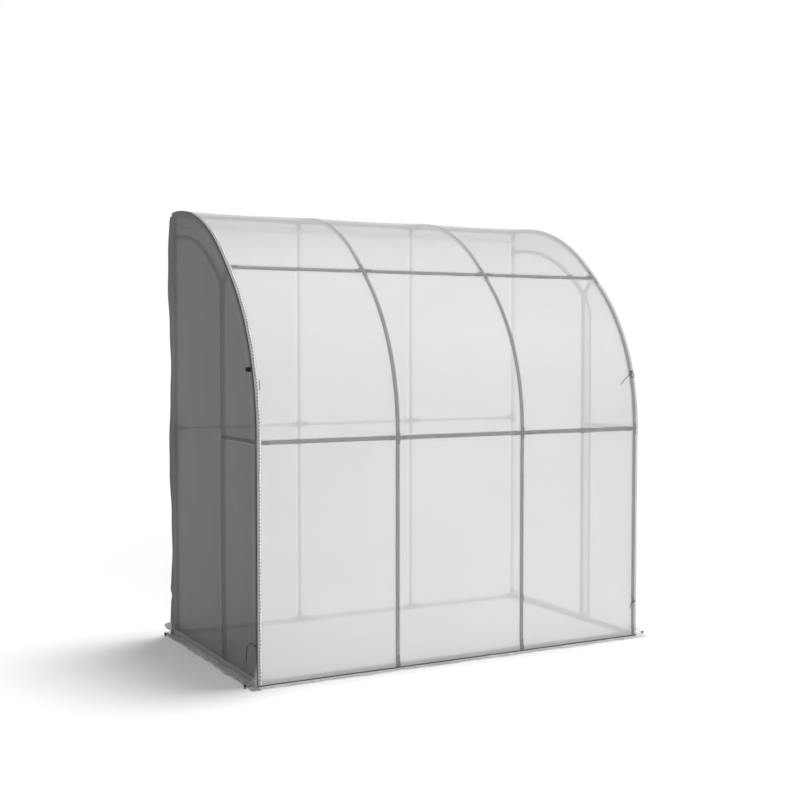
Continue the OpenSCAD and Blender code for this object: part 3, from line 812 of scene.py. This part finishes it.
def skirt(out, length, start, phase):
    """A crumpled strip of film along the ground. Its height is a slow ripple at the
    free edge plus two sets of slanting folds, each a folded sine, squared. out is
    its outward direction, and start how far out it begins."""
    out = np.array([*out, 0.0])
    along = np.array([-out[1], out[0], 0.0])
    t = spaced([-length, length], 0.004)[:, None]
    w = np.linspace(0, SKIRT_W, 14)[None, :]
    share = w / SKIRT_W
    ripple = 0.5 + 0.5 * np.sin(31 * t + phase + 2 * np.sin(7 * t + phase))
    ridge = 1 - np.abs(np.sin(61 * t + 35 * w + 2.2 * np.sin(19 * t + phase)))
    cross = 1 - np.abs(np.sin(43 * t - 70 * w + 1.7 * np.sin(27 * t + 2 * phase)))
    folds = 0.0065 * ridge ** 2 + 0.0045 * cross ** 2
    lift = FOOT_Z + 0.0045 * ripple * share ** 2 + folds * share ** 0.7
    drawn_in = 0.10 + 0.08 * np.sin(17 * t + 2 * phase) + 0.05 * np.sin(53 * t + phase)
    reach = w * (1 - drawn_in * share)
    lift, reach = np.broadcast_arrays(lift, reach)
    points = along * t[..., None] + out * (start + reach)[..., None]
    points[..., 2] = np.maximum(lift, 0.0008)
    return surface(points)


COVER_SAG = [0.002, 0.009, 0.010]   # depth of the hollows, from the foot up
BACK_SAG = [0.004, 0.005]
LAP_STAND = 0.0012          # the cover's lap stands this much further out


def cover():
    """The curved cover: every point is the arch's line, moved out by the film's
    distance there. It is turned in round the left rim and laps over the back."""
    u = width_columns()[None, :]
    s = spaced([FOOT_Z, BASE_Z, MID_Z, S_LEG, S_FRONT, S_PURLIN, S_LINK, S_ROOF, S_TOP], 0.02)
    corner, lap = np.linspace(S_TOP, S_CORNER, 9)[1:], np.linspace(S_CORNER, S_LAP, 6)[1:]
    s = np.concatenate([s, corner, lap])[:, None]
    x, drop = round_the_rim(u)
    x, drop, s = np.broadcast_arrays(x, drop, s)
    inside = np.clip(x, ARCH_X[0], ARCH_X[-1])
    off = TOUCH_OFF + LAP_STAND * (s > S_TOP) + fitting_bump(x, s, RAILS_S)
    off = off + creases(inside, s, RAILS_S) - panel_sag(inside, s, RAILS_S, COVER_SAG)
    off = off + flange_wave(x, s)
    off = np.where(s > S_TOP, np.maximum(off - drop, 0.001), off - drop)
    point, out = arch_line(s)
    yz = point + off[..., None] * out
    points = np.concatenate([x[..., None], yz], -1)
    front = Y_FRONT - TOUCH_OFF
    return piece(
        "curved_cover", [surface(points)], cover_finish(), ["cover_front"],
        [skirt((0, -1), HALF_L + FILM_OFF, -front, 0.4)], skirt_film)


def back_cover():
    """The upright back: flat between the posts apart from a slow billow, with rims
    like the cover's."""
    u = width_columns()[None, :]
    top = TOP[1] - BACK_LAP / 2
    rails = [BASE_Z, MID_Z, TOP[1]]
    z = spaced([FOOT_Z, BASE_Z, MID_Z, top], 0.024)[:, None]
    x, drop = round_the_rim(u)
    x, drop, z = np.broadcast_arrays(x, drop, z)
    inside = np.clip(x, ARCH_X[0], ARCH_X[-1])
    off = TOUCH_OFF + fitting_bump(x, z, rails) + creases(inside, z, rails)
    off = off - panel_sag(inside, z, rails, BACK_SAG)
    points = np.stack([x, Y_BACK + off + flange_wave(x, z) - drop, z], -1)
    return piece(
        "back_film_sheet", [surface(points, flip=True)], back_finish(), ["cover_back"],
        [skirt((0, 1), HALF_L + FILM_OFF, Y_BACK + TOUCH_OFF, 2.1)], skirt_film)


def roof_height(y):
    """Height of the end film's top edge at a place y: the arch's line, moved out."""
    s = np.linspace(S_LEG, S_CORNER, 600)
    point, out = arch_line(s)
    edge = point + END_EDGE * out
    return np.interp(y, edge[:, 0], edge[:, 1])


def head_height(y, lap):
    """Height of the door head's line at a place y, raised by a lap."""
    turn = np.linspace(FRONT_TURN, FRONT_TURN + ROOF_TURN, 200)
    arc = ROOF_C + (HEAD_R + lap) * outward(turn)
    start = POST_TOP + lap * LINK_OUT
    line = np.concatenate([[start], arc])
    rear = arc[-1, 1] + (arc[-1, 0] - y) * math.tan(ROOF_SLOPE)
    return np.where(y > arc[-1, 0], rear, np.interp(y, line[:, 0], line[:, 1]))


def rim_distance(y, z):
    """Distance from the nearest point of an end film's edge: the arch's line, moved
    out, and the rear edge."""
    s = np.linspace(0, S_TOP, 700)
    point, out = arch_line(s)
    low = np.linspace(0, TOP[1], 500)
    edge = np.concatenate([point + END_EDGE * out, np.stack([0 * low + REAR_EDGE, low], -1)])
    return np.hypot(y[..., None] - edge[:, 0], z[..., None] - edge[:, 1]).min(-1)


def end_columns(start, stop):
    """Places across an end, closer together where the front edge curves away."""
    t = np.linspace(0, 1, max(4, round((stop - start) / 0.018)))
    return start + (stop - start) * (t ** 1.6 if start <= FRONT_EDGE + 1e-6 else t)


def upright_sheet(side, off, y, low, high):
    """A sheet that stands at an end: each column runs from its low to its high
    edge, and off(y, z) is how far it stands outside the end arch's plane."""
    v = np.linspace(0, 1, 100)[:, None]
    z = low + (high - low) * v
    y = np.broadcast_to(y[None, :], z.shape)
    x = side * (HALF_L + off(y, z))
    return surface(np.stack([x, y, z], -1), flip=side < 0)


END_FITTINGS = [
    (Y_FRONT, BASE_Z), (Y_FRONT, MID_Z), (POST_Y, BASE_Z), (POST_Y, MID_Z), (Y_BACK, BASE_Z),
    (Y_BACK, MID_Z), tuple(PURLIN), tuple(TOP), tuple(POST_TOP), tuple(HEAD_JOINT),
]


def end_film_off(front, rear, hem_lift=0.0):
    """How far outside the end arch's plane an end's film stands: it lies on the
    tubes and rises over each fitting and over the cover's hem. It swells slowly in
    front of the door post and behind it, a half sine each, with shallow folds, and
    is still at the ground, the post and the rim."""
    def off(y, z):
        rim = rim_distance(y, z)
        fitting = np.max([near(np.hypot(y - a, z - b), 0.085) for a, b in END_FITTINGS], axis=0)
        ahead = np.clip((y - FRONT_EDGE) / (POST_Y - FRONT_EDGE), 0, 1)
        behind = np.clip((y - POST_Y) / (REAR_EDGE - POST_Y), 0, 1)
        rise = np.clip(z / roof_height(y), 0, 1)
        still = np.sin(np.pi * rise) ** 0.6
        folds = 0.0004 * np.sin(34 * y + 2.2 * np.sin(3.1 * z)) + 0.0006 * np.sin(5 * z + 6 * y)
        ahead, behind = np.sin(np.pi * ahead), np.sin(np.pi * behind)
        swell = (front * ahead + rear * behind + folds * (ahead + behind)) * still
        over_hem = hem_lift * near(np.clip(rim - 0.016, 0, None), 0.05)
        lift = np.maximum((FILM_OFF - TOUCH_OFF) * fitting, over_hem)
        return TOUCH_OFF + lift + swell
    return off


def corner_fin():
    """The free edge at the left rear corner: it stands out from the end film, its
    width swells and shrinks as a cosine of the height, and it sways to and fro.
    Near the ground it widens to an ear, a half ellipse that is fuller at its top."""
    ear_z, edge_z = np.linspace(FOOT_Z, 0.07, 30)[:-1], np.linspace(0.07, TOP[1] - 0.004, 160)
    z = np.concatenate([ear_z, edge_z])[:, None]
    share = np.linspace(0, 1, 7)[None, :]
    width = 0.0133 + 0.0055 * np.cos(2 * np.pi * (z - 0.90) / 0.85) + 0.0012 * np.sin(27 * z)
    width = width - 0.004 * near(z - 0.195, 0.025) + 0.003 * near(z - 0.235, 0.03)
    t = np.clip((z - EAR_Z) / 0.019, -1, 1)
    ear = 0.028 * np.sqrt(1 - t * t) * (1 + 0.3 * t)
    width = (width + ear) * np.clip((TOP[1] - z) / 0.02, 0.5, 1)
    lean = (0.30 + 0.30 * np.sin(5.1 * z + 0.4) + 0.12 * np.sin(17 * z)) * share
    x = -FIN_X - width * share * np.cos(lean)
    y = REAR_EDGE + width * share * np.sin(lean)
    return surface(np.stack([x, y, z + 0 * share], -1))


def left_end():
    """The left end's film in one piece, with the free edge at its rear corner."""
    y = np.concatenate([end_columns(FRONT_EDGE, POST_Y), end_columns(POST_Y, REAR_EDGE)[1:]])
    foot = np.full_like(y, FOOT_Z)
    off = end_film_off(front=0.003, rear=0.006, hem_lift=HEM_LIFT)
    sheet = upright_sheet(-1, off, y, foot, roof_height(y))
    return piece(
        "left_end_sheet", [sheet, corner_fin()], shade_painted_end_finish(), ["end_panel_left"],
        [skirt((-1, 0), -Y_FRONT + FILM_OFF + SKIRT_W, HALF_L + FILM_OFF, 3.3)], shade_painted_skirt)


def right_end():
    """The right end film: the whole front bay, and the crown over the doorway."""
    y = end_columns(FRONT_EDGE, POST_Y)
    off = end_film_off(front=0.002, rear=0.002)
    bay = upright_sheet(1, off, y, np.full_like(y, FOOT_Z), roof_height(y))
    y = end_columns(POST_Y, REAR_EDGE)
    crown = upright_sheet(1, off, y, head_height(y, 0), roof_height(y))
    return piece(
        "right_end_sheet", [bay, crown], right_end_finish(), ["end_panel_right"],
        [skirt((1, 0), -Y_FRONT + FILM_OFF + SKIRT_W, HALF_L + FILM_OFF, 5.2)], skirt_film)


FLAP_FOOT = 0.004           # the flap's height above the ground


def door_flap():
    """The flap over the doorway, with a sloping corner above the zip."""
    front = POST_Y - FLAP_LAP
    y = np.concatenate([np.linspace(front, POST_Y, 8)[:-1], end_columns(POST_Y, REAR_EDGE)])
    corner = np.interp(y, [front, POST_Y], [POST_TOP[1] - FLAP_CORNER, head_height(POST_Y, TUBE_R)])
    top = np.where(y < POST_Y, corner, head_height(y, TUBE_R))
    rest = end_film_off(front=0.0015, rear=0.008)
    foot = np.full_like(y, FLAP_FOOT)
    sheet = upright_sheet(1, lambda y, z: rest(y, z) + FLAP_OFF - FILM_OFF, y, foot, top)
    return piece("door_flap_sheet", [sheet], flap_finish(), ["door_flap_right"])


def run_and_side(line):
    """Unit directions along a line of (Y, Z) points and square to it."""
    run = np.gradient(line, axis=0)
    run /= np.linalg.norm(run, axis=1, keepdims=True)
    return run, np.stack([-run[:, 1], run[:, 0]], -1)


def strip(line, inner, outer, half_width):
    """A flat strip that follows a line of (Y, Z) points at the right end, between
    two distances outside the end arch, as a closed bar of four faces."""
    run, side = run_and_side(line)
    a, b = line - half_width * side, line + half_width * side
    near_x, far_x = np.full(len(line), HALF_L + inner), np.full(len(line), HALF_L + outer)
    ring = [np.c_[near_x, a], np.c_[near_x, b], np.c_[far_x, b], np.c_[far_x, a]]
    return bar(np.stack(ring, 1), flip=True)


ZIP_Y = POST_Y - FLAP_LAP + 0.009   # the zip's middle, in from the flap's front edge
ZIP_FOOT = 0.0113           # height of the zip's lower end
ZIP_TURN = POST_TOP[1] - FLAP_CORNER
ZIP_BEND = 0.018            # how far each side of its corner the zip's line is rounded
ZIP_FACE = FLAP_OFF + 0.0014        # the outer tape's face, outside the end arch


def zip_line(step):
    """The zip's line, evenly stepped: up, round the corner on a smooth curve (a
    quadratic one between its two straight runs), and on to the door head."""
    corner, head = np.array([ZIP_Y, ZIP_TURN]), np.array(POST_TOP)
    way = (head - corner) / np.linalg.norm(head - corner)
    t = np.linspace(0, 1, 12)[:, None]
    low, high = corner - [0, ZIP_BEND], corner + ZIP_BEND * way
    bend = (1 - t) ** 2 * low + 2 * t * (1 - t) * corner + t * t * high
    line = np.concatenate([[[ZIP_Y, ZIP_FOOT]], bend, [head]])
    far = np.concatenate([[0], np.cumsum(np.linalg.norm(np.diff(line, axis=0), axis=1))])
    at = np.linspace(0, far[-1], round(far[-1] / step) + 1)
    return np.stack([np.interp(at, far, line[:, 0]), np.interp(at, far, line[:, 1])], -1)


def zip_teeth(line, length, half_width, height):
    """One row of moulded teeth: a block for each step of the line, four points on
    the tape and four on top, drawn in a little. Odd teeth sit to one side."""
    run, side = run_and_side(line)
    shift = np.where(np.arange(len(line)) % 2, 0.0007, -0.0007)[:, None] * side
    corners = np.array([(-1, -1), (1, -1), (1, 1), (-1, 1)])
    levels = []
    for x, draw in ((ZIP_FACE, 1.0), (ZIP_FACE + height, 0.72)):
        along = corners[:, 0, None] * run[:, None] * length / 2 * draw
        across = corners[:, 1, None] * side[:, None] * half_width * draw
        yz = (line + shift)[:, None] + along + across
        levels.append(np.concatenate([np.full((*yz.shape[:2], 1), HALF_L + x), yz], -1))
    block = [[3, 2, 1, 0], [4, 5, 6, 7], [0, 1, 5, 4], [1, 2, 6, 5], [2, 3, 7, 6], [3, 0, 4, 7]]
    return copies(np.concatenate(levels, 1), [np.array(block)])


def zip_slider():
    """The slider low on the zip: a block whose half width is a cosine along it, with
    its waist in the middle, and a pull that hangs from it."""
    z = np.linspace(0.062, 0.080, 9)
    waist = 0.0030 + 0.0012 * np.cos(2 * np.pi * (z - z[0]) / (z[-1] - z[0]))
    line = np.stack([np.full(9, ZIP_Y), z], -1)
    body = strip(line, FLAP_OFF + 0.0012, FLAP_OFF + 0.0060, waist[:, None])
    pull_z = np.linspace(0.030, 0.066, 10)
    pull_x = HALF_L + FLAP_OFF + 0.0066 + 0.0008 * np.sin(np.pi * (pull_z - 0.030) / 0.036)
    pull = np.stack([pull_x, np.full(10, ZIP_Y), pull_z], -1)
    return [body, tube(pull, 0.0016, sides=8, across=(0, 1, 0))]


def door_zip():
    """Tape on both faces of the film, one row of teeth, and the slider."""
    line = zip_line(0.012)
    tapes = [strip(line, TOUCH_OFF - 0.0012, TOUCH_OFF - 0.0002, 0.0040),
             strip(line, FLAP_OFF + 0.0004, ZIP_FACE, 0.0043)]
    teeth = zip_teeth(zip_line(0.0045), length=0.0030, half_width=0.0022, height=0.0012)
    parts = [*tapes, teeth, *zip_slider()]
    return piece("door_zip", parts, zip_finish(), ["door_zip_right"])


def rim_cord():
    """A thin dark cord along the seam of the left rim, on the arch's line."""
    s = np.linspace(0.012, S_TOP, 420)
    point, out = arch_line(s)
    line = np.c_[np.full(len(s), -FIN_X), point + (END_EDGE + 0.0006) * out]
    return tube(line, 0.0014, sides=8, across=(1, 0, 0))


STITCH_PITCH = 0.0150
STITCH_R = 0.0013           # a stitch's radius at its middle


def rim_stitches():
    """A row of short stitches on the cover beside the cord. Each is a small capsule
    of four rings along the arch's line, a little to one side or the other on a slow
    sine."""
    middle = np.arange(0.030, S_TOP - 0.01, STITCH_PITCH)
    s = middle[:, None] + np.array([-0.0044, -0.0036, 0.0036, 0.0044])
    swell = np.array([0.2, 1.0, 1.0, 0.2])[:, None, None]
    at, normal = arch_line(s)
    x = -HALF_L - 0.0010 + 0.0016 * np.sin(41 * middle)[:, None] + 0 * s
    lift = TOUCH_OFF + 0.0005 + fitting_bump(x, s, RAILS_S) + creases(0 * s - HALF_L, s, RAILS_S)
    line = np.concatenate([x[..., None], at + lift[..., None] * normal], -1)
    up = np.concatenate([np.zeros_like(x)[..., None], normal], -1)[:, :, None]
    angle = np.linspace(0, 2 * np.pi, 6, endpoint=False)[:, None]
    ring = np.cos(angle) * np.array([1.0, 0, 0]) + np.sin(angle) * up
    rings = line[:, :, None] + STITCH_R * swell * ring
    return copies(rings.reshape(len(middle), -1, 3), bar(rings[0])[1])


TAPE_X = 0.0125             # the tape end's place beside the left end arch
TAPE_S = 1.288              # and where it starts, as a length along the arch
TAPE_RUN = 0.035            # its straight run
TAPE_BEND = 0.007           # and the radius of its turn


def tape_end():
    """The end of the seam's binding tape, below the clip: it runs down the cover
    along the arch's line, and turns in towards the rim on a quarter circle."""
    run = np.linspace(0, TAPE_RUN, 10)
    angle = np.linspace(0, np.pi / 2, 7)[1:]
    s = TAPE_S - np.concatenate([run, TAPE_RUN + TAPE_BEND * np.sin(angle)])
    x = -HALF_L + TAPE_X - np.concatenate([0 * run, TAPE_BEND * (1 - np.cos(angle))])
    at, normal = arch_line(s)
    lift = TOUCH_OFF + 0.0008 + fitting_bump(x, s, RAILS_S) + creases(x, s, RAILS_S)
    line = np.c_[x, at + lift[:, None] * normal]
    return tube(line, 0.0018, sides=8, across=(0, -1, 0.3))


def rim_piping():
    """The corded seam where the left end's film meets the curved cover."""
    return piece("left_rim_piping", [rim_cord(), rim_stitches()], black_trim, [],
                 [tape_end()], grey_cord)


# The clip's rings from its foot to its face: the share of its depth to which each
# has risen, and its reach as a share of the foot's.
CLIP_RINGS = np.array([
    (0.0, 1.0), (0.10, 1.0), (0.16, 0.96), (0.22, 0.80), (0.40, 0.78), (0.58, 0.80), (0.66, 0.93),
    (0.72, 0.97), (0.94, 0.97), (1.0, 0.93), (1.0, 0.78), (0.95, 0.72), (0.90, 0.66), (0.88, 0.30),
])


def snap_clip():
    """The spring clip on the left end: a moulded block whose rings are squarish
    loops, |y|^6 + |z|^6 = 1. It stands on a wide foot, narrows to a waist, and ends
    in a dished face with a raised lip."""
    low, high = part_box("film_clip_left")
    middle, half = (low + high) / 2, (high - low) / 2
    depth = high[0] - low[0]
    angle = np.linspace(0, 2 * np.pi, 48, endpoint=False)[None, :]
    loop = (np.abs(np.cos(angle)) ** 6 + np.abs(np.sin(angle)) ** 6) ** (-1 / 6)
    rise, reach = CLIP_RINGS.T[..., None]
    x = high[0] - 0.85 * rise * depth + 0 * angle
    y = middle[1] + half[1] * reach * loop * np.cos(angle)
    z = middle[2] + half[2] * reach * loop * np.sin(angle)
    body = bar(np.stack([x, y, z], -1))
    return piece("snap_clip", [body], black_trim, ["film_clip_left"])


curved = cover()
upright = back_cover()
left_film = left_end()
right_film = right_end()
flap = door_flap()
door_zip()
rim_piping()
snap_clip()


# ------------------------------------------------------------------ the frame's finishes

def dress(nodes, material):
    """Gives nodes of the frame their finish."""
    for name in nodes:
        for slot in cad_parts[name].material_slots:
            slot.material = material


tube_coat = tube_finish("coated_tube", (0.095, 0.098, 0.098), (0.135, 0.138, 0.138))
door_coat = tube_finish("dark_coated_tube", (0.030, 0.031, 0.031), (0.045, 0.046, 0.046))
rear_coat = tube_finish("zinc_coated_tube", (0.50, 0.505, 0.51), (0.58, 0.585, 0.59))
moulding = fitting_finish()
FRAME_TUBES = ("arch_", "base_rail", "mid_rail", "roof_purlin", "top_rail")
DOOR_TUBES = ("door_post", "door_head", "head_brace")
dress([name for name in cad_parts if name.startswith(FRAME_TUBES)], tube_coat)
dress([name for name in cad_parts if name.startswith(DOOR_TUBES)], door_coat)
dress([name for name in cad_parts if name.startswith("rear_post")], rear_coat)
dress(["base_rail_back", "mid_rail_back"], rear_coat)
dress([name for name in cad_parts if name.endswith("_fittings")], moulding)
dress(["ground_pegs"], black_trim)
dress(["peg_loops"], grey_cord)


# ------------------------------------------------------------------ floor and light

FLOOR = 30                  # half the floor's width


def floor():
    """A wide floor of matt white that takes the soft shadow."""
    mesh = bpy.data.meshes.new("floor")
    corners = [(-FLOOR, -FLOOR, 0), (FLOOR, -FLOOR, 0), (FLOOR, FLOOR, 0), (-FLOOR, FLOOR, 0)]
    mesh.from_pydata(corners, [], [(0, 1, 2, 3)])
    f = Finish("white_floor")
    matt = f.node("BsdfDiffuse")
    matt.inputs["Color"].default_value = (1, 1, 1, 1)
    f.done(matt.outputs[0])
    mesh.materials.append(f.material)
    add("floor", mesh)


KEY = 0.61                  # the share of the light from the key lamp
SKY = 0.21                  # the share of the light that comes from all round


def white_world():
    """Even white light. It is plain white where it is seen past everything, in a
    reflection and through a surface too."""
    world = bpy.data.worlds.new("studio")
    bpy.context.scene.world = world
    world.use_nodes = True
    tree = world.node_tree
    tree.nodes.clear()
    mix = tree.nodes.new("ShaderNodeMixShader")
    for socket, strength in ((mix.inputs[1], SKY), (mix.inputs[2], 1.0)):
        white = tree.nodes.new("ShaderNodeBackground")
        white.inputs["Color"].default_value = (1, 1, 1, 1)
        white.inputs["Strength"].default_value = strength
        tree.links.new(white.outputs[0], socket)
    path = tree.nodes.new("ShaderNodeLightPath")
    seen = path.outputs["Is Camera Ray"]
    for ray in ("Is Glossy Ray", "Is Transmission Ray"):
        either = tree.nodes.new("ShaderNodeMath")
        either.operation = "MAXIMUM"
        tree.links.new(seen, either.inputs[0])
        tree.links.new(path.outputs[ray], either.inputs[1])
        seen = either.outputs[0]
    tree.links.new(seen, mix.inputs[0])
    out = tree.nodes.new("ShaderNodeOutputWorld")
    tree.links.new(mix.outputs[0], out.inputs["Surface"])


def wide_sun(name, turn, height, spread, share):
    """A sun lamp as wide as a softbox. turn is 0 from the front and 90 from the
    right. share is its share of the light on the floor."""
    lamp = bpy.data.lights.new(name, "SUN")
    lamp.angle = math.radians(spread)
    lamp.energy = math.pi * share / math.sin(math.radians(height))
    add(name, lamp).rotation_euler = (math.radians(90 - height), 0, math.radians(turn))


floor()
white_world()
wide_sun("key", turn=103, height=73, spread=23, share=KEY)
wide_sun("fill", turn=-20, height=16, spread=80, share=1 - SKY - KEY)

bpy.context.scene.view_settings.view_transform = "Standard"
